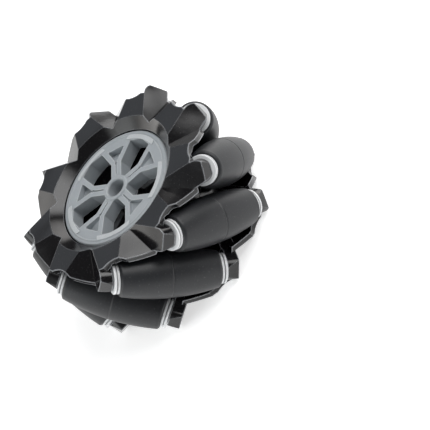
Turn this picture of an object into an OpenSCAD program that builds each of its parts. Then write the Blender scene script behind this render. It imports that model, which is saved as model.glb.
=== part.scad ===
// Mecanum wheel: nine barrel rollers at 45 degrees, carried on steel pins
// between two faceted crown plates that are screwed back to back.
// The wheel lies on its back crown, its axis is +Z, and roller 1 is on +X.

/* [Wheel] */
// Diameter over the rollers
wheel_d = 97; // [92:0.5:104]
// Width over the faces of the two crown plates
wheel_w = 46.2; // [45:0.2:49]
// Number of rollers
roller_count = 9; // [9:1:9]
// Angle between a roller's axis and the wheel's axis
roller_angle = 45; // [44:0.5:46]

/* [Rollers] */
// Largest diameter of a roller, at its middle
roller_d = 19.2; // [17.6:0.1:19.6]
// Length of the rubber tyre along the roller's axis
tyre_l = 40.6; // [38:0.2:41.4]
// Radius of the tyre's rounded shoulders
tyre_shoulder_r = 1.4; // [0.8:0.1:2]
// Diameter of the core's tube inside the tyre
core_d = 8.8; // [7:0.1:9.6]
// Diameter of the two white rings at each end of a core
ring_d = 12.2; // [11:0.1:12.6]
// Thickness of one white ring
ring_t = 0.9; // [0.7:0.1:1.4]
// Width of the groove between the two rings
ring_groove_w = 0.4; // [0.3:0.1:0.6]
// Depth of the groove between the two rings
ring_groove_depth = 0.9; // [0.4:0.1:1.4]
// Diameter of the short nose that runs in the lobe's pocket
nose_d = 4.8; // [4:0.1:5.4]
// Length of the nose
nose_l = 2.2; // [1.6:0.1:2.6]

/* [Pins] */
// Diameter of a roller's steel pin
pin_d = 3; // [2:0.1:3.4]
// Depth to which a pin sits in each lobe
pin_seat = 1.6; // [1:0.1:1.8]

/* [Crown plates] */
// Thickness of a lobe along the roller's axis
lobe_t = 5; // [4.6:0.1:5.6]
// Half width of a lobe, which is also the radius of its round end
lobe_r = 4.8; // [4.2:0.1:5]
// Gap between the crown's largest circle and the ground
ground_gap = 2.1; // [1:0.1:3]
// Radius of the roof between the lobes
roof_r = 41.8; // [40:0.1:42.4]
// Thickness of the roof, measured along the wheel's axis
roof_t = 2.6; // [2:0.1:3]
// Direction of a valley, measured from the radial line in the lobe's face
valley_turn = 32.4; // [31:0.2:34]
// Angle between the two sides of a valley
valley_opening = 115.6; // [112:0.2:120]
// Distance from the lobe's round side to the valley's bottom line
valley_margin = 1.6; // [1.4:0.1:2]
// Radius of the scallop that shows the roller's end
scallop_r = 9.1; // [8.4:0.1:9.8]
// Distance of the scallop's centre from the wheel's axis
scallop_at = 49.2; // [48.6:0.1:50]
// Direction of the scallop's centre from its roller's middle
scallop_turn = -13.2; // [-15:0.2:-11]
// Radius of the rim edge round the recess
rim_r = 31; // [30.4:0.1:31.4]
// Outer radius of the drum that carries the crown
drum_r = 28.5; // [28:0.1:28.7]
// Wall of the drum
drum_wall = 2.4; // [1.8:0.1:2.6]

/* [Back plate] */
// Depth of the recess from the back rim to the disc
back_depth = 7.9; // [6:0.1:9]
// Thickness of the disc
disc_t = 3; // [2:0.1:4]
// Diameter of the hub's bore
bore_d = 10; // [6:0.1:11]
// Diameter of the round boss behind the disc
boss_d = 17; // [15:0.1:20]
// Diameter of the drive pin's hole
drive_hole_d = 4.4; // [3:0.1:5]
// Distance of the drive pin's hole from the wheel's axis
drive_hole_at = 12.5; // [12:0.1:14]

/* [Screws] */
// Number of screws that join the plates
screw_count = 5; // [5:1:5]
// Radius of the circle of screws
screw_at = 22.6; // [22:0.1:22.8]
// Direction of the first screw from the middle of the first roller
screw_turn = 18.8; // [17:0.2:20]
// Diameter of a screw's head
head_d = 4.8; // [4.2:0.1:5]
// Height of a screw's head
head_h = 1.9; // [1.5:0.1:2.4]
// Diameter of a screw's shank
shank_d = 2.6; // [2:0.1:3]
// Depth of the counterbore for a head
counterbore_depth = 3.6; // [3:0.1:5]
// Diameter of the post round a screw
post_d = 6.4; // [6:0.1:7]
// Length of a screw in the front plate's post
screw_grip = 7; // [5:0.1:8]

/* [Front plate and cap] */
// Depth of the cap's face under the front rim
cap_depth = 3.8; // [3:0.1:4.6]
// Diameter of the cap
cap_d = 52.6; // [52:0.1:53]
// Gap between the cap and the collar round it
cap_gap = 0.4; // [0.3:0.05:0.5]
// Height of the cap
cap_h = 6.5; // [5:0.1:7]
// Depth of the space behind the cap's windows
cap_well_depth = 3; // [2:0.1:4]
// Thickness of the front plate's floor
floor_t = 2.6; // [2:0.1:3]
// Width of the cap's outer ring
cap_ring_w = 4; // [3:0.1:4.6]
// Drop of the cap's face from its ring to its hub
cap_dish = 0.8; // [0.4:0.1:1.2]
// Radius of the hub ring on the cap
cap_hub_r = 6; // [5.4:0.1:6.6]
// Radius of the hole in the cap
cap_hole_r = 4; // [3:0.1:4.4]
// Direction of the cap's first fork from the middle of the first roller
cap_turn = 1.8; // [-3:0.2:3]
// Number of the cap's arms
arm_count = 5; // [5:1:5]
// Width of an arm between the hub and its fork
arm_w = 5; // [4.4:0.1:5.6]
// Distance from the axis at which an arm forks
fork_at = 12.6; // [11:0.1:14]
// Half angle of a fork at the ring
fork_spread = 20; // [18:0.5:22]
// Width of one branch of a fork
branch_w = 2.2; // [1.8:0.1:2.8]

/* [Hidden] */
$fn = 96;
// Radial running gap between a core and its pin
running_gap = 0.08;
// Gap of a bonded or pressed fit
seat_gap = 0.03;
// Gap left at the ends of a rotating core
end_gap = 0.35;
// Gap kept between a roller and the crown
roller_gap = 0.9;
// Small length by which a cutter passes the face that it cuts
over = 0.5;
// A length greater than the wheel, for cutters
far = 140;

half_w = wheel_w / 2;
pitch_angle = 360 / roller_count;
roller_r = roller_d / 2;
axis_r = wheel_d / 2 - roller_r;
tyre_half = tyre_l / 2;
ring_pack = 2 * ring_t + ring_groove_w;
ring_end = tyre_half + ring_pack;
nose_end = ring_end + nose_l;
lobe_in = ring_end + end_gap;
lobe_out = lobe_in + lobe_t;
pocket_end = nose_end + end_gap;
pocket_r = nose_d / 2 + end_gap;
pin_half = pocket_end + pin_seat;
crown_r = wheel_d / 2 - ground_gap;
valley_off = lobe_r + valley_margin;
drum_in_r = drum_r - drum_wall;

// Radius of the wheel's contact line on a roller, s millimetres from its middle
function contact_r(s) =
    let (
        side = s * sin(roller_angle),
        reach = sqrt(axis_r * axis_r + side * side),
        turn = side / reach * sin(roller_angle)
    )
    (wheel_d / 2 - reach) * sqrt(1 - turn * turn);

// Place along the roller's axis of that contact line
function contact_s(s) =
    let (
        side = s * sin(roller_angle),
        reach = sqrt(axis_r * axis_r + side * side)
    )
    s + (wheel_d / 2 - reach) * side / reach * sin(roller_angle);

// The barrel is one arc through the contact line at the middle and near the end
near_end = 0.92 * tyre_half;
drop = roller_r - contact_r(near_end);
barrel_r = (pow(contact_s(near_end), 2) + drop * drop) / (2 * drop);

cap_top = half_w - cap_depth;
cap_seat = cap_top - cap_h;
cap_r = cap_d / 2;
collar_r = cap_r + cap_gap;
well_floor = cap_seat - cap_well_depth;
disc_top = half_w - back_depth;
head_seat = disc_top - counterbore_depth;
bore_r = bore_d / 2;
boss_r = boss_d / 2;
post_r = post_d / 2;
ring_in_r = cap_r - cap_ring_w;

// ---------- places ----------

// Frame of roller i: its middle at the origin and its axis along Z
module at_roller(i) {
    rotate([0, 0, (i - 1) * pitch_angle])
        translate([axis_r, 0, 0])
            rotate([roller_angle, 0, 0])
                children();
}

// The wheel's middle plane lies half a width above the ground
module lifted() {
    translate([0, 0, half_w]) children();
}

// The back plate is the same crown turned over about the first roller's radius
module turned_over() {
    rotate([180, 0, 0]) children();
}

module at_screws() {
    for (k = [0:screw_count - 1])
        rotate([0, 0, screw_turn + k * 360 / screw_count])
            translate([screw_at, 0, 0])
                children();
}

// ---------- crown ----------

// Cutter above one valley: its first side is the lobe's face, square to the
// roller's axis, and its second side climbs to the next roof
module valley(i) {
    at_roller(i)
        translate([0, 0, lobe_out])
            rotate([0, 0, -valley_turn])
                translate([0, -valley_off, 0])
                    rotate([90, 0, 90])
                        linear_extrude(height = far, center = true)
                            polygon([
                                [0, 0],
                                [far / 2, 0],
                                [far / 2, far / 2],
                                [far / 2 * cos(valley_opening), far / 2 * sin(valley_opening)]
                            ]);
}

// Everything under the folded roof's lower side, which keeps an even distance
// from its upper side: flat tops with a valley after each lobe
module under_roof() {
    translate([0, 0, -roof_t])
        difference() {
            cylinder(r = roof_r + over, h = half_w);
            for (i = [1:roller_count]) valley(i);
        }
}

// Roof before its valleys are cut, trimmed by a scallop at each roller's end
module roof() {
    difference() {
        cylinder(r = roof_r, h = half_w + over);
        under_roof();
        for (i = [0:roller_count - 1])
            rotate([0, 0, i * pitch_angle + scallop_turn])
                translate([scallop_at, 0, -over])
                    cylinder(r = scallop_r, h = far);
    }
}

// Bar with a round end, square to the roller's axis, that carries its pin.
// It starts a little early and ends late: the roller's room and the valley trim it
module lobe(i) {
    at_roller(i)
        translate([0, 0, lobe_in - over])
            linear_extrude(height = lobe_t + 2 * over)
                union() {
                    circle(r = lobe_r);
                    translate([-axis_r + drum_in_r / 2, -lobe_r])
                        square([axis_r - drum_in_r / 2, 2 * lobe_r]);
                }
}

// Room for a turning roller, and the pocket and seat for its nose and pin
module roller_room(i) {
    at_roller(i) {
        rotate_extrude()
            intersection() {
                translate([-barrel_r + roller_r, 0]) circle(r = barrel_r + roller_gap, $fn = 360);
                translate([0, -lobe_in]) square([roller_r + 2 * roller_gap, 2 * lobe_in]);
            }
        cylinder(r = pocket_r, h = 2 * pocket_end, center = true);
        cylinder(r = pin_d / 2 + seat_gap, h = 2 * (pin_half + seat_gap), center = true);
    }
}

// Crown, collar and drum of either plate, from the middle plane outwards
module crown() {
    difference() {
        intersection() {
            union() {
                roof();
                for (i = [1:roller_count]) lobe(i);
                rotate_extrude()
                    polygon([
                        [0, -over],
                        [drum_r, -over],
                        [drum_r, half_w - roof_t - rim_r + drum_r],
                        [rim_r, half_w - roof_t],
                        [rim_r, half_w + over],
                        [0, half_w + over]
                    ]);
            }
            cylinder(r = crown_r, h = half_w);
        }
        for (i = [1:roller_count]) {
            valley(i);
            roller_room(i);
        }
        // funnel-shaped collar from the rim edge down to the recess
        rotate_extrude()
            polygon([
                [0, cap_top],
                [collar_r, cap_top],
                [rim_r, half_w],
                [rim_r + over, half_w + over],
                [0, half_w + over]
            ]);
    }
}

// ---------- plates ----------

// Post round a screw, with a web that joins it to the drum's wall
module post() {
    cylinder(r = post_r, h = far);
    translate([0, -post_r / 2, 0]) cube([drum_in_r - screw_at + over, post_r, far]);
}

module front_plate() {
    color([0.05, 0.05, 0.06])
        lifted()
            difference() {
                crown();
                // seat of the cap, and the dark space behind its windows
                translate([0, 0, cap_seat]) cylinder(r = collar_r, h = far);
                difference() {
                    translate([0, 0, well_floor]) cylinder(r = ring_in_r, h = far);
                    cylinder(r = cap_hub_r + over, h = cap_seat);
                }
                // inside of the drum, with posts and a boss left standing
                difference() {
                    translate([0, 0, -over]) cylinder(r = drum_in_r, h = well_floor - floor_t + over);
                    mirror([0, 1, 0]) at_screws() post();
                    cylinder(r = boss_r, h = far);
                }
                mirror([0, 1, 0])
                    at_screws()
                        translate([0, 0, -over])
                            cylinder(r = shank_d / 2 + seat_gap, h = screw_grip + 2 * over, $fn = 32);
                translate([0, 0, -over]) cylinder(r = cap_hole_r, h = far);
            }
}

module back_plate() {
    color([0.05, 0.05, 0.06])
        lifted()
            turned_over()
                difference() {
                    crown();
                    translate([0, 0, disc_top]) cylinder(r = collar_r, h = far);
                    difference() {
                        translate([0, 0, -over]) cylinder(r = drum_in_r, h = disc_top - disc_t + over);
                        at_screws() post();
                        cylinder(r = boss_r, h = far);
                    }
                    at_screws() {
                        translate([0, 0, -over]) cylinder(r = shank_d / 2 + 2 * running_gap, h = far, $fn = 32);
                        translate([0, 0, head_seat]) cylinder(r = head_d / 2 + end_gap, h = far, $fn = 48);
                    }
                    translate([0, 0, -over]) cylinder(r = bore_r, h = far);
                    rotate([0, 0, screw_turn + 180])
                        translate([drive_hole_at, 0, -over])
                            cylinder(r = drive_hole_d / 2, h = far, $fn = 48);
                }
}

// Pan-head screws with a cross recess
module plate_screws() {
    color([0.25, 0.25, 0.27])
        lifted()
            turned_over()
                at_screws()
                    difference() {
                        union() {
                            translate([0, 0, head_seat])
                                rotate_extrude($fn = 48)
                                    polygon([
                                        [0, 0],
                                        [head_d / 2, 0],
                                        [head_d / 2, head_h * 0.6],
                                        [head_d / 2 - head_h * 0.4, head_h],
                                        [0, head_h]
                                    ]);
                            translate([0, 0, -screw_grip])
                                cylinder(r = shank_d / 2, h = head_seat + screw_grip, $fn = 32);
                        }
                        for (turn = [0, 90])
                            rotate([0, 0, turn])
                                translate([-head_d / 4, -head_d / 14, head_seat + head_h / 3])
                                    cube([head_d / 2, head_d / 7, head_h]);
                    }
}

// ---------- cap ----------

// Corner points of an outline, each replaced by a short arc of the given radius
function filleted(points, radius, steps = 5) =
    let (n = len(points))
    [
        for (k = [0:n - 1])
            let (
                here = points[k],
                to_last = points[(k + n - 1) % n] - here,
                to_next = points[(k + 1) % n] - here,
                u = to_last / norm(to_last),
                v = to_next / norm(to_next),
                half = acos(u * v) / 2,
                middle = here + (u + v) / norm(u + v) * radius / sin(half),
                start = here + u * radius / tan(half) - middle,
                finish = here + v * radius / tan(half) - middle
            )
            for (j = [0:steps])
                let (mix = start * (1 - j / steps) + finish * (j / steps))
                middle + mix / norm(mix) * radius
    ];

function polar(r, angle) = [r * cos(angle), r * sin(angle)];

// Outline of one window, symmetrical about +X, between two forked arms
arm_gap = 180 / arm_count;
window_hub = arm_gap - asin(arm_w / 2 / cap_hub_r);
window_bend = arm_gap - atan(arm_w / 2 / fork_at);
window_ring = arm_gap - fork_spread;
window_bend_r = norm([fork_at, arm_w / 2]);
window_ring_r = ring_in_r - over;
window_points = [
    polar(cap_hub_r, -window_hub),
    polar(window_bend_r, -window_bend),
    polar(window_ring_r, -window_ring),
    polar(window_ring_r / cos(window_ring), 0),
    polar(window_ring_r, window_ring),
    polar(window_bend_r, window_bend),
    polar(cap_hub_r, window_hub)
];

// Outline of the blind pocket between the branches of one fork
branch_end = polar(window_ring_r, fork_spread);
branch_run = branch_end - [fork_at, arm_w / 2];
branch_way = branch_run / norm(branch_run);
pocket_tip = fork_at + (branch_w - arm_w / 2 * branch_way[0]) / branch_way[1];
pocket_base = window_ring_r * cos(fork_spread) - branch_w / 3;
pocket_half = (pocket_base - pocket_tip) * branch_way[1] / branch_way[0];
pocket_points = [[pocket_tip, 0], [pocket_base, -pocket_half], [pocket_base, pocket_half]];

module hub_cap() {
    groove_w = 0.7;
    groove_depth = 0.8;
    bead_w = 0.5;
    bead_h = 0.25;
    pocket_slope = 12;
    pocket_depth = 3;
    color([0.62, 0.65, 0.68])
        lifted()
            difference() {
                // dished face with a chamfered ring and a fine bead on it
                rotate_extrude($fn = 120)
                    polygon([
                        [cap_hole_r, cap_seat],
                        [cap_r, cap_seat],
                        [cap_r, cap_top - bead_w],
                        [cap_r - bead_w, cap_top],
                        [cap_r - cap_ring_w / 2 + bead_w, cap_top],
                        [cap_r - cap_ring_w / 2, cap_top + bead_h],
                        [cap_r - cap_ring_w / 2 - bead_w, cap_top],
                        [ring_in_r, cap_top],
                        [cap_hub_r, cap_top - cap_dish],
                        [cap_hub_r - bead_w, cap_top - cap_dish + bead_w],
                        [cap_hole_r + bead_w, cap_top - cap_dish + bead_w],
                        [cap_hole_r, cap_top - cap_dish]
                    ]);
                for (k = [0:arm_count - 1])
                    rotate([0, 0, cap_turn + k * 360 / arm_count]) {
                        rotate([0, 0, arm_gap])
                            translate([0, 0, cap_seat - over])
                                linear_extrude(height = cap_h + 2 * over)
                                    polygon(filleted(window_points, 0.6));
                        // pocket whose floor falls towards the ring
                        intersection() {
                            translate([0, 0, cap_seat + over])
                                linear_extrude(height = cap_h)
                                    polygon(filleted(pocket_points, 0.5));
                            translate([pocket_tip, -far / 2, cap_top - pocket_depth / 2])
                                rotate([0, pocket_slope, 0])
                                    cube([far, far, far]);
                        }
                        // long groove in the arm
                        translate([cap_hub_r + groove_w, -groove_w / 2, cap_top - cap_dish - groove_depth / 2])
                            cube([fork_at - cap_hub_r - groove_w, groove_w, far]);
                        translate([fork_at, 0, cap_top - cap_dish - groove_depth / 2])
                            cylinder(r = groove_w, h = far, $fn = 24);
                    }
            }
}

// ---------- rollers ----------

// Half section of the tyre: the barrel's arc with a tangent arc at each end
module tyre_section() {
    barrel_x = roller_r - barrel_r;
    shoulder_y = tyre_half - tyre_shoulder_r;
    shoulder_x = barrel_x + sqrt(pow(barrel_r - tyre_shoulder_r, 2) - pow(shoulder_y, 2));
    tangent_y = shoulder_y * barrel_r / (barrel_r - tyre_shoulder_r);
    bond_r = core_d / 2 + seat_gap;
    difference() {
        union() {
            intersection() {
                translate([barrel_x, 0]) circle(r = barrel_r, $fn = 360);
                translate([0, -tangent_y]) square([roller_r + over, 2 * tangent_y]);
            }
            translate([0, -tyre_half]) square([shoulder_x, tyre_l]);
            for (side = [-1, 1])
                translate([shoulder_x, side * shoulder_y])
                    circle(r = tyre_shoulder_r, $fn = 48);
        }
        translate([-far, -far / 2]) square([far + bond_r, far]);
    }
}

module roller_tyre(i) {
    color([0.10, 0.10, 0.11])
        lifted()
            at_roller(i)
                rotate_extrude()
                    tyre_section();
}

// White core: a tube with two rings and a nose at each end
module roller_core(i) {
    bead = 0.3;
    ring_r = ring_d / 2;
    groove_r = ring_r - ring_groove_depth;
    bore = pin_d / 2 + running_gap;
    seat = tyre_half + seat_gap;
    half = [
        [core_d / 2, seat],
        [ring_r - bead, seat],
        [ring_r, seat + bead],
        [ring_r, tyre_half + ring_t - bead],
        [ring_r - bead, tyre_half + ring_t],
        [groove_r, tyre_half + ring_t],
        [groove_r, ring_end - ring_t],
        [ring_r - bead, ring_end - ring_t],
        [ring_r, ring_end - ring_t + bead],
        [ring_r, ring_end - bead],
        [ring_r - bead, ring_end],
        [nose_d / 2, ring_end],
        [nose_d / 2, nose_end - bead],
        [nose_d / 2 - bead, nose_end],
        [bore, nose_end]
    ];
    color([0.93, 0.93, 0.95])
        lifted()
            at_roller(i)
                rotate_extrude()
                    polygon(concat(
                        half,
                        [for (k = [len(half) - 1:-1:0]) [half[k][0], -half[k][1]]]
                    ));
}

// Steel pin with chamfered ends, seated in a lobe of each plate
module roller_pin(i) {
    chamfer = 0.3;
    pin_r = pin_d / 2;
    color([0.60, 0.61, 0.63])
        lifted()
            at_roller(i)
                rotate_extrude($fn = 48)
                    polygon([
                        [0, -pin_half],
                        [pin_r - chamfer, -pin_half],
                        [pin_r, -pin_half + chamfer],
                        [pin_r, pin_half - chamfer],
                        [pin_r - chamfer, pin_half],
                        [0, pin_half]
                    ]);
}

front_plate();
back_plate();
hub_cap();
plate_screws();
roller_tyre(1);  // roller_tyre_1
roller_tyre(2);  // roller_tyre_2
roller_tyre(3);  // roller_tyre_3
roller_tyre(4);  // roller_tyre_4
roller_tyre(5);  // roller_tyre_5
roller_tyre(6);  // roller_tyre_6
roller_tyre(7);  // roller_tyre_7
roller_tyre(8);  // roller_tyre_8
roller_tyre(9);  // roller_tyre_9
roller_core(1);  // roller_core_1
roller_core(2);  // roller_core_2
roller_core(3);  // roller_core_3
roller_core(4);  // roller_core_4
roller_core(5);  // roller_core_5
roller_core(6);  // roller_core_6
roller_core(7);  // roller_core_7
roller_core(8);  // roller_core_8
roller_core(9);  // roller_core_9
roller_pin(1);  // roller_pin_1
roller_pin(2);  // roller_pin_2
roller_pin(3);  // roller_pin_3
roller_pin(4);  // roller_pin_4
roller_pin(5);  // roller_pin_5
roller_pin(6);  // roller_pin_6
roller_pin(7);  // roller_pin_7
roller_pin(8);  // roller_pin_8
roller_pin(9);  // roller_pin_9
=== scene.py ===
# %% [markdown]
# # A mecanum wheel
# A mecanum wheel has barrel-shaped rollers all round its rim, each set at 45 degrees
# to the wheel's axis. Turned against its neighbours on a robot, it can push sideways.
# This lesson dresses the exact CAD model of one wheel: two glossy crown plates, a grey
# hub cap, nine rubber rollers on white nylon cores, steel pins and small screws.
# The first step loads the CAD model, which stays where it is and sets every size.

# %% Load the frame
import math

import bmesh
import bpy
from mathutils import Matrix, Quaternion, Vector


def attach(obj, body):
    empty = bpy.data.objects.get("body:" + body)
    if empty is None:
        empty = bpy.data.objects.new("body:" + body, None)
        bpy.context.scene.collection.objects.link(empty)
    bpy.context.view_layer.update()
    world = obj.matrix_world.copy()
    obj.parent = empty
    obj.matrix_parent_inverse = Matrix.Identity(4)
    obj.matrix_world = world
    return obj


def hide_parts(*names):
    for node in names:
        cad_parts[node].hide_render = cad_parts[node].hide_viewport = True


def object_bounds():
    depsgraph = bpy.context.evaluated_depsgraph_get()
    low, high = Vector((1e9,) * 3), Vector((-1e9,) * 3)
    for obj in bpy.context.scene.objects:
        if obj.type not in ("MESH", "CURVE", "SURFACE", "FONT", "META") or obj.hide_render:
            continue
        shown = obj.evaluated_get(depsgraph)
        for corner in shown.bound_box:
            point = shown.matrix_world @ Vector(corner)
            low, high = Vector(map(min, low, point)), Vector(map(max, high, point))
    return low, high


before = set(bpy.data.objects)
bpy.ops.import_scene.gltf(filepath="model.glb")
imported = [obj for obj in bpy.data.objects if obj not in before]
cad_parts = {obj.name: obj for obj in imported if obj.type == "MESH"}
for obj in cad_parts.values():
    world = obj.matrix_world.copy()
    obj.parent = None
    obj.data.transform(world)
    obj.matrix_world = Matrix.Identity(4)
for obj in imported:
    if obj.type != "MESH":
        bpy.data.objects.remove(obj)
cad_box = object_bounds()

# %% [markdown]
# ## Sizes
# The wheel lies on its back crown with its axis upwards, so its height in the frame is its
# width. The other sizes are the ones that the CAD source names, in millimetres there and in
# metres here, because Blender works in metres.

# %% Sizes of the wheel
MM = 0.001
ROLLERS = 9
ROLLER_ANGLE = math.radians(45)
WHEEL_R = 48.5 * MM
HALF_W = (cad_box[1].z - cad_box[0].z) / 2
ROLLER_R = 9.6 * MM
AXIS_R = WHEEL_R - ROLLER_R
TYRE_HALF = 20.3 * MM
SHOULDER_R = 1.4 * MM
CORE_R = 4.4 * MM
RING_R = 6.1 * MM
RING_T = 0.9 * MM
GROOVE_W = 0.4 * MM
GROOVE_DEPTH = 0.9 * MM
NOSE_R = 2.4 * MM
NOSE_END = TYRE_HALF + 2 * RING_T + GROOVE_W + 2.2 * MM
BORE_R = 1.58 * MM
BOND_GAP = 0.03 * MM
SEAM_W = 0.7 * MM
SEAM_DEPTH = 0.16 * MM
print(f"half width {HALF_W / MM:.2f} mm, rollers on a circle of {AXIS_R / MM:.2f} mm")

# %% [markdown]
# ## Camera
# The camera stands well back with a long lens, as for a catalogue picture, so the wheel
# shows little perspective. It looks down at the front crown, and it is rolled about its own
# line of sight, which turns the wheel's axis up and to the left in the picture.

# %% Place the camera
CAMERA_AZIMUTH = math.radians(-50.8)
CAMERA_ELEVATION = math.radians(39.1)
CAMERA_ROLL = math.radians(-51.27)
CAMERA_DISTANCE = 0.6983
CAMERA_TARGET = Vector((-0.00105, -0.0218, 0.00514))

camera = bpy.data.objects.new("camera", bpy.data.cameras.new("camera"))
bpy.context.scene.collection.objects.link(camera)
backwards = Vector(
    (
        math.sin(CAMERA_AZIMUTH) * math.cos(CAMERA_ELEVATION),
        -math.cos(CAMERA_AZIMUTH) * math.cos(CAMERA_ELEVATION),
        math.sin(CAMERA_ELEVATION),
    )
)
camera.location = CAMERA_TARGET + backwards * CAMERA_DISTANCE
camera.rotation_mode = "QUATERNION"
level = (-backwards).to_track_quat("-Z", "Y")
camera.rotation_quaternion = level @ Quaternion((0, 0, 1), CAMERA_ROLL)
camera.data.sensor_width = 36
camera.data.lens = 144.6
camera.data.clip_start = 0.01
camera.data.clip_end = 100
bpy.context.scene.camera = camera
print("camera stands at", [round(c, 3) for c in camera.location])

# %% [markdown]
# ## Writing node trees as sums
# Materials and Geometry Nodes are both trees of nodes. Two small classes make them short
# to write. A Wire is one output socket with Python's operators on it, so `1 - mask` adds a
# Math node. A Tree makes any other node from its type, its settings and its inputs.

# %% Wires and trees
def feed(socket, value):
    """Gives a socket a link or a plain value."""
    if isinstance(value, Wire):
        socket.id_data.links.new(value.socket, socket)
    elif value is not None:
        socket.default_value = value


class Wire:
    """One output socket that can be used in sums."""

    def __init__(self, socket):
        self.socket = socket

    def maths(self, operation, *values):
        node = self.socket.id_data.nodes.new("ShaderNodeMath")
        node.operation = operation
        for slot, value in zip(node.inputs, values):
            feed(slot, value)
        return Wire(node.outputs[0])

    def __add__(self, other):
        return self.maths("ADD", self, other)

    def __sub__(self, other):
        return self.maths("SUBTRACT", self, other)

    def __rsub__(self, other):
        return self.maths("SUBTRACT", other, self)

    def __mul__(self, other):
        return self.maths("MULTIPLY", self, other)

    def __truediv__(self, other):
        return self.maths("DIVIDE", self, other)

    def __abs__(self):
        return self.maths("ABSOLUTE", self)

    __radd__ = __add__


class Tree:
    """A node tree whose nodes are added one call at a time."""

    def __init__(self, nodes):
        self.tree = nodes

    def add(self, kind, settings=None, output=0, **values):
        """Adds a node: settings first, then its inputs by name. Returns one output."""
        node = self.tree.nodes.new(kind)
        for name, setting in (settings or {}).items():
            setattr(node, name, setting)
        for name, value in values.items():
            if name.startswith("slot_"):
                feed(node.inputs[int(name[5:])], value)
            else:
                feed(node.inputs[name.replace("_", " ")], value)
        outputs = [s for s in node.outputs if s.enabled]
        if isinstance(output, str):
            return Wire(node.outputs[output])
        return Wire(outputs[output]) if outputs else node


print("helpers ready")

# %% [markdown]
# ## Finishes
# Moulded plastic never has one flat colour. Each finish below starts from the colour of the
# real material and adds what gives it scale: a faint waviness in the gloss, fine specks,
# a lighter colour along outward edges, which on the plates and the cap is a painted highlight,
# and turning lines on round pieces.

# %% Starting and ending a finish
def start_finish(name):
    """A new material with an empty tree."""
    material = bpy.data.materials.new(name)
    material.use_nodes = True
    material.node_tree.nodes.clear()
    return material, Tree(material.node_tree)


def end_finish(tree, **inputs):
    """Adds the shader and the material's output."""
    shader = tree.add("ShaderNodeBsdfPrincipled", **inputs)
    tree.add("ShaderNodeOutputMaterial", Surface=shader)


def noise(tree, where, scale, detail=2.0, roughness=0.5):
    """Soft random values between about 0.25 and 0.75."""
    return tree.add(
        "ShaderNodeTexNoise", Vector=where, Scale=scale, Detail=detail, Roughness=roughness
    )


def spread(tree, value, low, high, to_low=0.0, to_high=1.0):
    """Maps low..high to to_low..to_high and stops at both ends."""
    return tree.add(
        "ShaderNodeMapRange",
        Value=value,
        From_Min=low,
        From_Max=high,
        To_Min=to_low,
        To_Max=to_high,
    )


def mixed(tree, share, first, second):
    """One colour turning into another as share goes from 0 to 1."""
    return tree.add(
        "ShaderNodeMix",
        {"data_type": "RGBA"},
        output=0,
        slot_0=share,
        slot_6=first,
        slot_7=second,
    )


def edge_share(tree, reach):
    """0 on open faces and up to 1 along outward edges: short rays cast inwards meet them."""
    inside = tree.add(
        "ShaderNodeAmbientOcclusion",
        {"samples": 6, "inside": True, "only_local": True},
        output="AO",
        Distance=reach,
    )
    return spread(tree, 1 - inside, 0.10, 0.34)


# %% [markdown]
# ### Glossy black crown plates
# The crowns are injection moulded in black plastic and polished in the mould. Their gloss is
# not perfect: the surface has slow waves, and its edges are slightly dull.

# %% Glossy black plastic
def make_gloss_black():
    material, tree = start_finish("gloss_black")
    place = tree.add("ShaderNodeTexCoord", output="Object")
    edge = edge_share(tree, 0.55 * MM)
    cloud = noise(tree, place, 60, 3)
    specks = spread(tree, noise(tree, place, 2600, 1), 0.68, 0.76)
    colour = mixed(tree, cloud, (0.004, 0.004, 0.005, 1), (0.009, 0.008, 0.009, 1))
    # painted highlight: a light grey colour along the outward edges stands in for light caught
    # on them
    colour = mixed(tree, edge * 0.85, colour, (0.36, 0.37, 0.39, 1))
    colour = mixed(tree, specks * 0.3, colour, (0.12, 0.12, 0.12, 1))
    dullness = 0.09 + cloud * 0.08 + specks * 0.15 + edge * 0.15
    slow_waves = noise(tree, place, 42, 1)
    ripples = noise(tree, place, 260, 2)
    rounded = tree.add("ShaderNodeBevel", {"samples": 6}, Radius=0.4 * MM)
    bent = tree.add(
        "ShaderNodeBump", Strength=1.0, Distance=1.3 * MM, Height=slow_waves, Normal=rounded
    )
    bump = tree.add(
        "ShaderNodeBump", Strength=0.5, Distance=0.05 * MM, Height=ripples, Normal=bent
    )
    end_finish(tree, Base_Color=colour, Roughness=dullness, IOR=1.52, Normal=bump)
    return material


gloss_black = make_gloss_black()
print("made", gloss_black.name)

# %% [markdown]
# ### Satin grey cap
# The cap is moulded in grey plastic with a fine grain, like a painted car wheel. A satin
# surface spreads its highlights, so its roughness is well above the crowns'.

# %% Satin grey plastic
def make_satin_grey():
    material, tree = start_finish("satin_grey")
    place = tree.add("ShaderNodeTexCoord", output="Object")
    cloud = noise(tree, place, 90, 3)
    grain = noise(tree, place, 5200, 2)
    edge = edge_share(tree, 0.4 * MM)
    colour = mixed(tree, cloud, (0.33, 0.36, 0.385, 1), (0.41, 0.435, 0.455, 1))
    # painted highlight: a light grey colour along the outward edges
    colour = mixed(tree, edge * 0.6, colour, (0.70, 0.72, 0.73, 1))
    dullness = 0.32 + cloud * 0.1 + grain * 0.06
    rounded = tree.add("ShaderNodeBevel", {"samples": 6}, Radius=0.3 * MM)
    bump = tree.add(
        "ShaderNodeBump", Strength=0.3, Distance=0.01 * MM, Height=grain, Normal=rounded
    )
    end_finish(tree, Base_Color=colour, Roughness=dullness, IOR=1.5, Normal=bump)
    return material


satin_grey = make_satin_grey()
print("made", satin_grey.name)

# %% [markdown]
# ### Tyre rubber
# The tyres are turned or moulded rubber with a matte skin. Fine rings run round them, and a
# faint line round the middle shows where the mould's halves met. Both follow the roller, so
# the finish reads an attribute named `own`: the place of a point in the roller's own frame.

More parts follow.
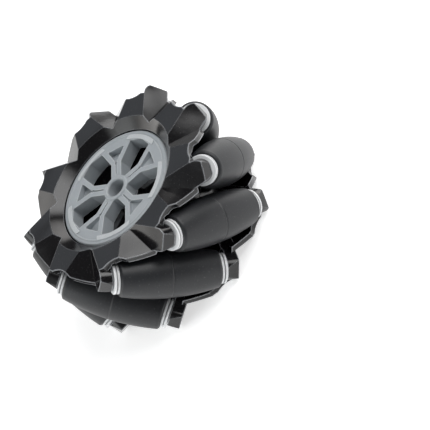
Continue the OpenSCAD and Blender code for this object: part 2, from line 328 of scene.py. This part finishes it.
# %% Matte tyre rubber
def make_tyre_rubber():
    material, tree = start_finish("tyre_rubber")
    place = tree.add("ShaderNodeTexCoord", output="Object")
    own = tree.add("ShaderNodeAttribute", {"attribute_name": "own"}, output="Vector")
    along = tree.add("ShaderNodeSeparateXYZ", output="Z", Vector=own)
    cloud = noise(tree, place, 70, 4)
    grain = noise(tree, place, 3800, 2)
    stretched = tree.add("ShaderNodeCombineXYZ", Z=along)
    turning = noise(tree, stretched, 2400, 3)
    seam = 1 - spread(tree, abs(along), 0.1 * MM, SEAM_W / 2)
    dust = spread(tree, noise(tree, place, 1500, 3), 0.62, 0.74)
    colour = mixed(tree, cloud, (0.009, 0.010, 0.012, 1), (0.018, 0.019, 0.022, 1))
    colour = mixed(tree, dust * 0.3, colour, (0.12, 0.122, 0.125, 1))
    colour = mixed(tree, seam * 0.3, colour, (0.06, 0.06, 0.062, 1))
    dullness = 0.36 + cloud * 0.12 + grain * 0.06
    height = turning * 0.5 + grain * 0.35
    bump = tree.add("ShaderNodeBump", Strength=0.4, Distance=0.03 * MM, Height=height)
    end_finish(tree, Base_Color=colour, Roughness=dullness, IOR=1.5, Normal=bump)
    return material


tyre_rubber = make_tyre_rubber()
print("made", tyre_rubber.name)

# %% [markdown]
# ### White nylon cores
# Only the ring pack and the nose of each core show. They are white nylon, with painted shade
# that darkens the groove between the two rings.

# %% White nylon
def make_white_nylon():
    material, tree = start_finish("white_nylon")
    place = tree.add("ShaderNodeTexCoord", output="Object")
    own = tree.add("ShaderNodeAttribute", {"attribute_name": "own"}, output="Vector")
    along = tree.add("ShaderNodeSeparateXYZ", output="Z", Vector=own)
    cloud = noise(tree, place, 240, 3)
    grain = noise(tree, place, 4200, 2)
    groove_at = TYRE_HALF + RING_T + GROOVE_W / 2
    groove = 1 - spread(tree, abs(abs(along) - groove_at), GROOVE_W * 0.4, GROOVE_W * 0.9)
    colour = mixed(tree, cloud, (0.74, 0.75, 0.76, 1), (0.86, 0.87, 0.88, 1))
    # painted shade: a darker grey in the recessed groove between the rings
    colour = mixed(tree, groove * 0.6, colour, (0.30, 0.30, 0.31, 1))
    dullness = 0.36 + cloud * 0.14
    bump = tree.add("ShaderNodeBump", Strength=0.2, Distance=0.02 * MM, Height=grain)
    end_finish(tree, Base_Color=colour, Roughness=dullness, IOR=1.53, Normal=bump)
    return material


white_nylon = make_white_nylon()
print("made", white_nylon.name)

# %% [markdown]
# ### Steel
# The pins are bright turned steel. The screws are the same metal under a thin black coat.
# Along the outward edges of both, the colour turns lighter.

# %% Pin steel and black screw steel
def make_steel(name, dark, light, dull):
    material, tree = start_finish(name)
    place = tree.add("ShaderNodeTexCoord", output="Object")
    cloud = noise(tree, place, 300, 3)
    lines = noise(tree, place, 6000, 1)
    edge = edge_share(tree, 0.15 * MM)
    colour = mixed(tree, cloud, (*dark, 1), (*light, 1))
    # the colour turns lighter along the outward edges
    colour = mixed(tree, edge * 0.5, colour, (0.6, 0.6, 0.6, 1))
    dullness = dull + cloud * 0.12 + lines * 0.06
    bump = tree.add("ShaderNodeBump", Strength=0.2, Distance=0.01 * MM, Height=lines)
    end_finish(tree, Base_Color=colour, Roughness=dullness, Metallic=1.0, Normal=bump)
    return material


pin_steel = make_steel("pin_steel", (0.45, 0.45, 0.46), (0.62, 0.62, 0.63), 0.2)
screw_steel = make_steel("screw_steel", (0.03, 0.03, 0.033), (0.07, 0.07, 0.075), 0.28)
print("made", pin_steel.name, "and", screw_steel.name)

# %% [markdown]
# ## Turned pieces
# Tyres, cores and screws are all round about an axis. A lathe does this in Blender as in the
# workshop: it sweeps a half section round the axis. Here the lathe is a Geometry Nodes tree.
# It samples the section at each column of a grid, turns that column to its angle, and keeps
# each point's own place before the piece is carried to its place on the wheel.

# %% The lathe tree
def make_lathe_tree():
    group = bpy.data.node_groups.new("lathe", "GeometryNodeTree")
    face = group.interface
    face.new_socket("Section", in_out="INPUT", socket_type="NodeSocketGeometry")
    face.new_socket("Steps", in_out="INPUT", socket_type="NodeSocketInt")
    face.new_socket("Turn", in_out="INPUT", socket_type="NodeSocketFloat")
    face.new_socket("Tilt", in_out="INPUT", socket_type="NodeSocketFloat")
    face.new_socket("Outwards", in_out="INPUT", socket_type="NodeSocketFloat")
    face.new_socket("Upwards", in_out="INPUT", socket_type="NodeSocketFloat")
    face.new_socket("Material", in_out="INPUT", socket_type="NodeSocketMaterial")
    face.new_socket("Piece", in_out="OUTPUT", socket_type="NodeSocketGeometry")
    tree = Tree(group)
    entry = group.nodes.new("NodeGroupInput")
    given = {s.name: Wire(s) for s in entry.outputs if s.name}
    section, steps = given["Section"], given["Steps"]
    count = tree.add("GeometryNodeAttributeDomainSize", output="Point Count", Geometry=section)
    rows = count + 1
    grid = tree.add(
        "GeometryNodeMeshGrid", output="Mesh", Size_X=1.0, Size_Y=1.0,
        Vertices_X=steps + 1, Vertices_Y=rows,
    )
    index = tree.add("GeometryNodeInputIndex")
    column = index.maths("FLOOR", (index + 0.5) / rows)
    row = index - column * rows
    point = row.maths("MODULO", row, count)
    where = tree.add("GeometryNodeInputPosition")
    sampled = tree.add(
        "GeometryNodeSampleIndex", {"data_type": "FLOAT_VECTOR"}, Geometry=section,
        Value=where, Index=point,
    )
    parts = group.nodes.new("ShaderNodeSeparateXYZ")
    feed(parts.inputs[0], sampled)
    radius, height = Wire(parts.outputs["X"]), Wire(parts.outputs["Z"])
    angle = column / steps * math.tau
    turned = tree.add(
        "ShaderNodeCombineXYZ",
        X=radius * angle.maths("COSINE", angle),
        Y=radius * angle.maths("SINE", angle),
        Z=height,
    )
    shape = tree.add("GeometryNodeSetPosition", Geometry=grid, Position=turned)
    shape = tree.add("GeometryNodeMergeByDistance", Geometry=shape, Distance=1e-6)
    shape = tree.add(
        "GeometryNodeStoreNamedAttribute", {"data_type": "FLOAT_VECTOR", "domain": "POINT"},
        Geometry=shape, Name="own", Value=where,
    )
    tilt = tree.add("ShaderNodeCombineXYZ", X=given["Tilt"])
    moved = tree.add("ShaderNodeCombineXYZ", X=given["Outwards"], Z=given["Upwards"])
    turn = tree.add("ShaderNodeCombineXYZ", Z=given["Turn"])
    shape = tree.add("GeometryNodeTransform", Geometry=shape, Translation=moved, Rotation=tilt)
    shape = tree.add("GeometryNodeTransform", Geometry=shape, Rotation=turn)
    shape = tree.add("GeometryNodeRealizeInstances", Geometry=shape)
    shape = tree.add("GeometryNodeSetMaterial", Geometry=shape, Material=given["Material"])
    leave = group.nodes.new("NodeGroupOutput")
    feed(leave.inputs["Piece"], shape)
    return group


lathe = make_lathe_tree()
print("lathe tree has", len(lathe.nodes), "nodes")

# %% [markdown]
# A tree is used through a modifier. Its inputs are set by their identifiers before the
# object is evaluated, and then the result is turned into a plain mesh, which needs neither
# the tree nor the modifier. Normals are recalculated on the merged mesh, so that every face
# points outwards, and edges sharper than a limit stay sharp when the rest is shaded smooth.

# %% From a tree to a plain mesh
def section_object(points):
    """A closed line in the XZ plane, as the lathe's input."""
    mesh = bpy.data.meshes.new("section")
    links = [(i, (i + 1) % len(points)) for i in range(len(points))]
    mesh.from_pydata([(r, 0, z) for r, z in points], links, [])
    made = bpy.data.objects.new("section", mesh)
    bpy.context.scene.collection.objects.link(made)
    return made


def grown(start, group, **inputs):
    """The plain mesh that a tree makes from an object."""
    modifier = start.modifiers.new("tree", "NODES")
    modifier.node_group = group
    for item in group.interface.items_tree:
        if item.item_type == "SOCKET" and item.in_out == "INPUT" and item.name in inputs:
            modifier[item.identifier] = inputs[item.name]
    bpy.context.view_layer.update()
    seen = start.evaluated_get(bpy.context.evaluated_depsgraph_get())
    mesh = bpy.data.meshes.new_from_object(seen)
    bpy.data.objects.remove(start)
    return mesh


def finished(name, mesh, sharp_degrees=32):
    """An object with its faces outwards and its round faces shaded smooth."""
    work = bmesh.new()
    work.from_mesh(mesh)
    bmesh.ops.recalc_face_normals(work, faces=work.faces)
    work.to_mesh(mesh)
    work.free()
    mesh.shade_smooth()
    mesh.set_sharp_from_angle(angle=math.radians(sharp_degrees))
    made = bpy.data.objects.new(name, mesh)
    bpy.context.scene.collection.objects.link(made)
    return made


def turned_piece(name, points, material, steps=96, **place):
    """A lathe piece, carried to its place on the wheel."""
    mesh = grown(section_object(points), lathe, Steps=steps, Material=material, **place)
    return finished(name, mesh)


def roller_place(number):
    """Where the lathe puts a roller: its turn about the wheel, tilt and radius."""
    return {
        "Turn": (number - 1) * math.tau / ROLLERS,
        "Tilt": ROLLER_ANGLE,
        "Outwards": AXIS_R,
        "Upwards": HALF_W,
    }


print("lathe ready")

# %% [markdown]
# ### Rounded corners in a section
# Real turned and moulded pieces have no knife edges. This helper replaces corners of a
# section by small arcs, which is where the thin highlights along edges come from.

# %% Rounding a section
def rounded_section(corners, arc_points=4):
    """Corners are (radius, height, rounding); returns the points with arcs in them."""
    points = []
    for i, (r, z, rounding) in enumerate(corners):
        here = Vector((r, z))
        before = Vector(corners[i - 1][:2]) - here
        after = Vector(corners[(i + 1) % len(corners)][:2]) - here
        if rounding <= 0:
            points.append((r, z))
            continue
        half = before.angle(after) / 2
        reach = rounding / math.tan(half)
        reach = min(reach, before.length * 0.49, after.length * 0.49)
        first = here + before.normalized() * reach
        last = here + after.normalized() * reach
        for k in range(arc_points + 1):
            t = k / arc_points
            bend = first * (1 - t) ** 2 + here * 2 * t * (1 - t) + last * t * t
            points.append((bend.x, bend.y))
    return points


print(len(rounded_section([(1, 0, 0.1), (2, 0, 0.1), (2, 1, 0.1)])), "points on a test section")

# %% [markdown]
# ## Tyres
# A roller is a barrel because the wheel must stay round: from the side, the outlines of all
# rollers together make one circle. The curve of the barrel therefore follows from the
# wheel's radius and the roller's angle. The tyre is one arc through that curve, with
# rounded shoulders, and it is hollow for the nylon core.

# %% The barrel's rule
def contact_point(s):
    """The wheel's contact line on a roller: (place along the axis, radius)."""
    side = s * math.sin(ROLLER_ANGLE)
    reach = math.hypot(AXIS_R, side)
    turn = side / reach * math.sin(ROLLER_ANGLE)
    along = s + (WHEEL_R - reach) * turn
    return along, (WHEEL_R - reach) * math.sqrt(1 - turn * turn)


near_end, near_radius = contact_point(0.92 * TYRE_HALF)
drop = ROLLER_R - near_radius
BARREL_R = (near_end**2 + drop**2) / (2 * drop)


def barrel_radius(along):
    """Radius of the tyre at a place along its axis."""
    return ROLLER_R - BARREL_R + math.sqrt(BARREL_R**2 - along**2)


print(f"barrel arc {BARREL_R / MM:.1f} mm, end radius {barrel_radius(TYRE_HALF) / MM:.2f} mm")

# %% Nine tyres
def tyre_section(side_points=40, shoulder_points=6):
    straight = TYRE_HALF - SHOULDER_R
    places = [-straight + 2 * straight * k / side_points for k in range(side_points + 1)]
    places = [z for z in places if abs(z) > SEAM_W / 2]
    places += [SEAM_W * share for share in (-0.5, -0.38, -0.22, 0, 0.22, 0.38, 0.5)]
    barrel = []
    for z in sorted(places):
        share = min(1, abs(z) / (SEAM_W / 2))
        dip = SEAM_DEPTH * (1 + math.cos(math.pi * share)) / 2
        barrel.append((barrel_radius(z) - dip, z))
    end_r = barrel_radius(straight)
    top = []
    for k in range(1, shoulder_points + 1):
        a = math.pi / 2 * k / shoulder_points
        top.append(
            (end_r - SHOULDER_R + SHOULDER_R * math.cos(a), straight + SHOULDER_R * math.sin(a))
        )
    bottom = [(r, -z) for r, z in reversed(top)]
    hole_r = CORE_R + BOND_GAP
    return bottom + barrel + top + [(hole_r, TYRE_HALF), (hole_r, -TYRE_HALF)]


for number in range(1, ROLLERS + 1):
    tyre = turned_piece(f"tyre_{number}", tyre_section(), tyre_rubber, **roller_place(number))
    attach(tyre, f"roller_{number}")
    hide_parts(f"roller_tyre_{number}")
print("tyre faces:", len(tyre.data.polygons))

# %% [markdown]
# ## Cores
# Each tyre sits on a tube with two thin rings at either end and a short nose, which runs in
# the lobe's pocket.

# %% Nine cores
def core_section():
    end = TYRE_HALF
    second = end + RING_T + GROOVE_W
    last = second + RING_T
    small = 0.12 * MM
    half = [
        (BORE_R, 0, 0),
        (CORE_R, 0, 0),
        (CORE_R, end, 0),
        (RING_R, end, small),
        (RING_R, end + RING_T, small * 2),
        (RING_R - GROOVE_DEPTH, end + RING_T, small),
        (RING_R - GROOVE_DEPTH, second, small),
        (RING_R, second, small * 2),
        (RING_R, last, small * 3),
        (NOSE_R, last, small),
        (NOSE_R, NOSE_END, small * 2),
        (BORE_R, NOSE_END, small),
    ]
    lower = [(r, -z, rounding) for r, z, rounding in reversed(half)]
    corners = [c for c in lower + half if c[1] != 0]
    return rounded_section(corners)


for number in range(1, ROLLERS + 1):
    core = turned_piece(f"core_{number}", core_section(), white_nylon, **roller_place(number))
    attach(core, f"roller_{number}")
    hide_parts(f"roller_core_{number}")
print("core faces:", len(core.data.polygons))

# %% [markdown]
# ## Crown plates and cap
# The folded faces of the plates and the cap come exact from CAD, so those meshes stay as they
# are and only take their finish. The small radius that a real mould leaves on every edge is
# in the finish: it bends the light over each edge, and a painted highlight, a lighter colour
# along the outward edges, adds to it; together they draw the bright lines on the black.

# %% Finishes on the exact CAD plates
def dress(node, material):
    """Gives a CAD node its finish."""
    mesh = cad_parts[node].data
    mesh.materials.clear()
    mesh.materials.append(material)


dress("front_plate", gloss_black)
dress("back_plate", gloss_black)
dress("hub_cap", satin_grey)
print("dressed the plates and the cap")

# %% [markdown]
# ## Lips round the cap's windows
# The arms of the cap run on round each window as a flat lip that stands a little above the
# ring. A lip is a strip bent along an arc, with its outer corners rounded off, so it is
# grown from a grid by a rule, then thickened, and repeated five times about the axis.

# %% The lip tree
CAP_ARMS = 5
CAP_TURN = math.radians(1.8)
CAP_FACE_Z = HALF_W + 19.3 * MM
LIP_IN_R = 22.36 * MM
LIP_OUT_R = 24.3 * MM
LIP_H = 0.32 * MM
LIP_SINK = 0.04 * MM
LIP_HALF_ANGLE = math.radians(21.2)
LIP_ROUND_ANGLE = math.radians(4.2)
LIP_POINTS_ALONG = 65
LIP_POINTS_ACROSS = 5


def make_lip_tree():
    group = bpy.data.node_groups.new("window lips", "GeometryNodeTree")
    face = group.interface
    face.new_socket("Start", in_out="INPUT", socket_type="NodeSocketGeometry")
    face.new_socket("Count", in_out="INPUT", socket_type="NodeSocketInt")
    face.new_socket("Height", in_out="INPUT", socket_type="NodeSocketFloat")
    face.new_socket("Material", in_out="INPUT", socket_type="NodeSocketMaterial")
    face.new_socket("Piece", in_out="OUTPUT", socket_type="NodeSocketGeometry")
    tree = Tree(group)
    entry = group.nodes.new("NodeGroupInput")
    given = {s.name: Wire(s) for s in entry.outputs if s.name}
    grid = tree.add(
        "GeometryNodeMeshGrid", output="Mesh", Size_X=2.0, Size_Y=1.0,
        Vertices_X=LIP_POINTS_ALONG, Vertices_Y=LIP_POINTS_ACROSS,
    )
    place = tree.add("GeometryNodeInputPosition")
    parts = group.nodes.new("ShaderNodeSeparateXYZ")
    feed(parts.inputs[0], place)
    angle = Wire(parts.outputs["X"]) * LIP_HALF_ANGLE
    across = Wire(parts.outputs["Y"]) + 0.5
    past = (abs(angle) - (LIP_HALF_ANGLE - LIP_ROUND_ANGLE)) / LIP_ROUND_ANGLE
    past = past.maths("MAXIMUM", past, 0.0)
    fall = past.maths("SQRT", (1 - past * past * 0.98))
    radius = across * fall * (LIP_OUT_R - LIP_IN_R) + LIP_IN_R
    bent = tree.add(
        "ShaderNodeCombineXYZ",
        X=radius * angle.maths("COSINE", angle),
        Y=radius * angle.maths("SINE", angle),
    )
    sheet = tree.add("GeometryNodeSetPosition", Geometry=grid, Position=bent)
    up = tree.add("ShaderNodeCombineXYZ", Z=1.0)
    top = tree.add(
        "GeometryNodeExtrudeMesh", output="Mesh", Mesh=sheet, Offset=up,
        Offset_Scale=given["Height"], Individual=False,
    )
    under = tree.add("GeometryNodeFlipFaces", Mesh=sheet)
    solid = group.nodes.new("GeometryNodeJoinGeometry")
    feed(solid.inputs[0], under)
    feed(solid.inputs[0], top)
    solid = tree.add(
        "GeometryNodeMergeByDistance", Geometry=Wire(solid.outputs[0]), Distance=1e-6
    )
    copies = tree.add("GeometryNodeMeshLine", Count=given["Count"])
    turn = tree.add("GeometryNodeInputIndex") * (math.tau / CAP_ARMS)
    spin = tree.add("ShaderNodeCombineXYZ", Z=turn)
    repeat = tree.add(
        "GeometryNodeInstanceOnPoints", Points=copies, Instance=solid, Rotation=spin
    )
    centred = tree.add("ShaderNodeCombineXYZ")
    repeat = tree.add("GeometryNodeSetPosition", Geometry=repeat, Position=centred)
    shape = tree.add("GeometryNodeRealizeInstances", Geometry=repeat)
    shape = tree.add("GeometryNodeSetMaterial", Geometry=shape, Material=given["Material"])
    leave = group.nodes.new("NodeGroupOutput")
    feed(leave.inputs["Piece"], shape)
    return group


lip_tree = make_lip_tree()
print("lip tree has", len(lip_tree.nodes), "nodes")

# %% Five lips
blank = bpy.data.objects.new("blank", bpy.data.meshes.new("blank"))
bpy.context.scene.collection.objects.link(blank)
lip_mesh = grown(blank, lip_tree, Count=CAP_ARMS, Height=LIP_H, Material=satin_grey)
lip_turn = Quaternion((0, 0, 1), CAP_TURN + math.pi / CAP_ARMS)
for vertex in lip_mesh.vertices:
    vertex.co = lip_turn @ vertex.co + Vector((0, 0, CAP_FACE_Z - LIP_SINK))
lips = finished("window_lips", lip_mesh)
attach(lips, "hub")
print("lip faces:", len(lips.data.polygons))

# %% [markdown]
# ## Pins and screws
# The pins could be steel rod cut to length, and the screws could be cold headed. The CAD has
# their shapes already and most of them is hidden, so they only take a steel finish.

# %% Steel on the CAD pins and screws
for number in range(1, ROLLERS + 1):
    dress(f"roller_pin_{number}", pin_steel)
dress("plate_screws", screw_steel)

# %% [markdown]
# ## Stage
# The wheel lies on a plain pale floor in soft studio light. It rests on its back crown, so
# that it can't roll away.

# %% Floor
FLOOR_HALF_SIDE = 4.0
FLOOR_WHITE = (0.9, 0.9, 0.9, 1)
# keeps the floor pale where the wheel shades it
FLOOR_GLOW = 0.6


def make_floor():
    material, tree = start_finish("pale_floor")
    end_finish(
        tree, Base_Color=FLOOR_WHITE, Roughness=0.9,
        Emission_Color=(1, 1, 1, 1), Emission_Strength=FLOOR_GLOW,
    )
    mesh = bpy.data.meshes.new("floor")
    side = FLOOR_HALF_SIDE
    corners = [(-side, -side, 0), (side, -side, 0), (side, side, 0), (-side, side, 0)]
    mesh.from_pydata(corners, [], [(0, 1, 2, 3)])
    mesh.materials.append(material)
    floor = bpy.data.objects.new("floor", mesh)
    bpy.context.scene.collection.objects.link(floor)
    floor.location.z = cad_box[0].z


make_floor()

# %% [markdown]
# ### Soft boxes in the surroundings
# Gloss shows whatever stands round it. A studio hangs large soft boxes about the piece and
# leaves darker gaps between them, and those gaps give the black faces their contrast. The
# world's shader draws the same thing: each soft box is a smooth round patch of light in one
# direction, measured by the angle between that direction and the ray's.

# %% Soft boxes
def direction(azimuth, elevation):
    a, e = math.radians(azimuth), math.radians(elevation)
    return Vector((math.sin(a) * math.cos(e), -math.cos(a) * math.cos(e), math.sin(e)))


# azimuth, elevation, half angle, softness of the edge in degrees, strength, colour
SOFT_BOXES = (
    (28, 50, 22, 9, 4.2, (1.0, 1.0, 1.0)),
    (70, 6, 18, 8, 2.8, (1.0, 0.98, 0.96)),
    (-138, 26, 20, 9, 2.4, (0.97, 1.0, 1.0)),
    (-95, 12, 30, 16, 0.35, (0.93, 0.97, 1.0)),
    (168, 10, 24, 12, 2.0, (1.0, 0.98, 0.95)),
    (128, 44, 12, 9, 0.6, (0.85, 0.92, 1.0)),
)
GAP_LIGHT = 0.09

world = bpy.data.worlds.new("studio")
bpy.context.scene.world = world
world.use_nodes = True
world.node_tree.nodes.clear()
sky = Tree(world.node_tree)
ray = sky.add("ShaderNodeTexCoord", output="Generated")
light = sky.add("ShaderNodeCombineXYZ", X=GAP_LIGHT, Y=GAP_LIGHT, Z=GAP_LIGHT)
for azimuth, elevation, half_angle, soft, strength, tint in SOFT_BOXES:
    aim = sky.add("ShaderNodeCombineXYZ", **dict(zip("XYZ", direction(azimuth, elevation))))
    closeness = sky.add(
        "ShaderNodeVectorMath", {"operation": "DOT_PRODUCT"}, output="Value",
        slot_0=ray, slot_1=aim,
    )
    patch = sky.add(
        "ShaderNodeMapRange", {"interpolation_type": "SMOOTHSTEP"}, Value=closeness,
        From_Min=math.cos(math.radians(half_angle + soft)),
        From_Max=math.cos(math.radians(max(half_angle - soft, 0))),
        To_Min=0.0, To_Max=strength,
    )
    glow = sky.add(
        "ShaderNodeVectorMath", {"operation": "SCALE"}, slot_0=tint, Scale=patch
    )
    light = sky.add("ShaderNodeVectorMath", {"operation": "ADD"}, slot_0=light, slot_1=glow)
backdrop = sky.add("ShaderNodeBackground", Color=light, Strength=1.0)
sky.add("ShaderNodeOutputWorld", Surface=backdrop)
bpy.context.scene.view_settings.view_transform = "Standard"
print(len(SOFT_BOXES), "soft boxes")

# %% [markdown]
# ## The CAD box
# The box of the CAD solids is written down.

# %% The CAD box
print("CAD box:", [[round(x, 4) for x in c] for c in cad_box])
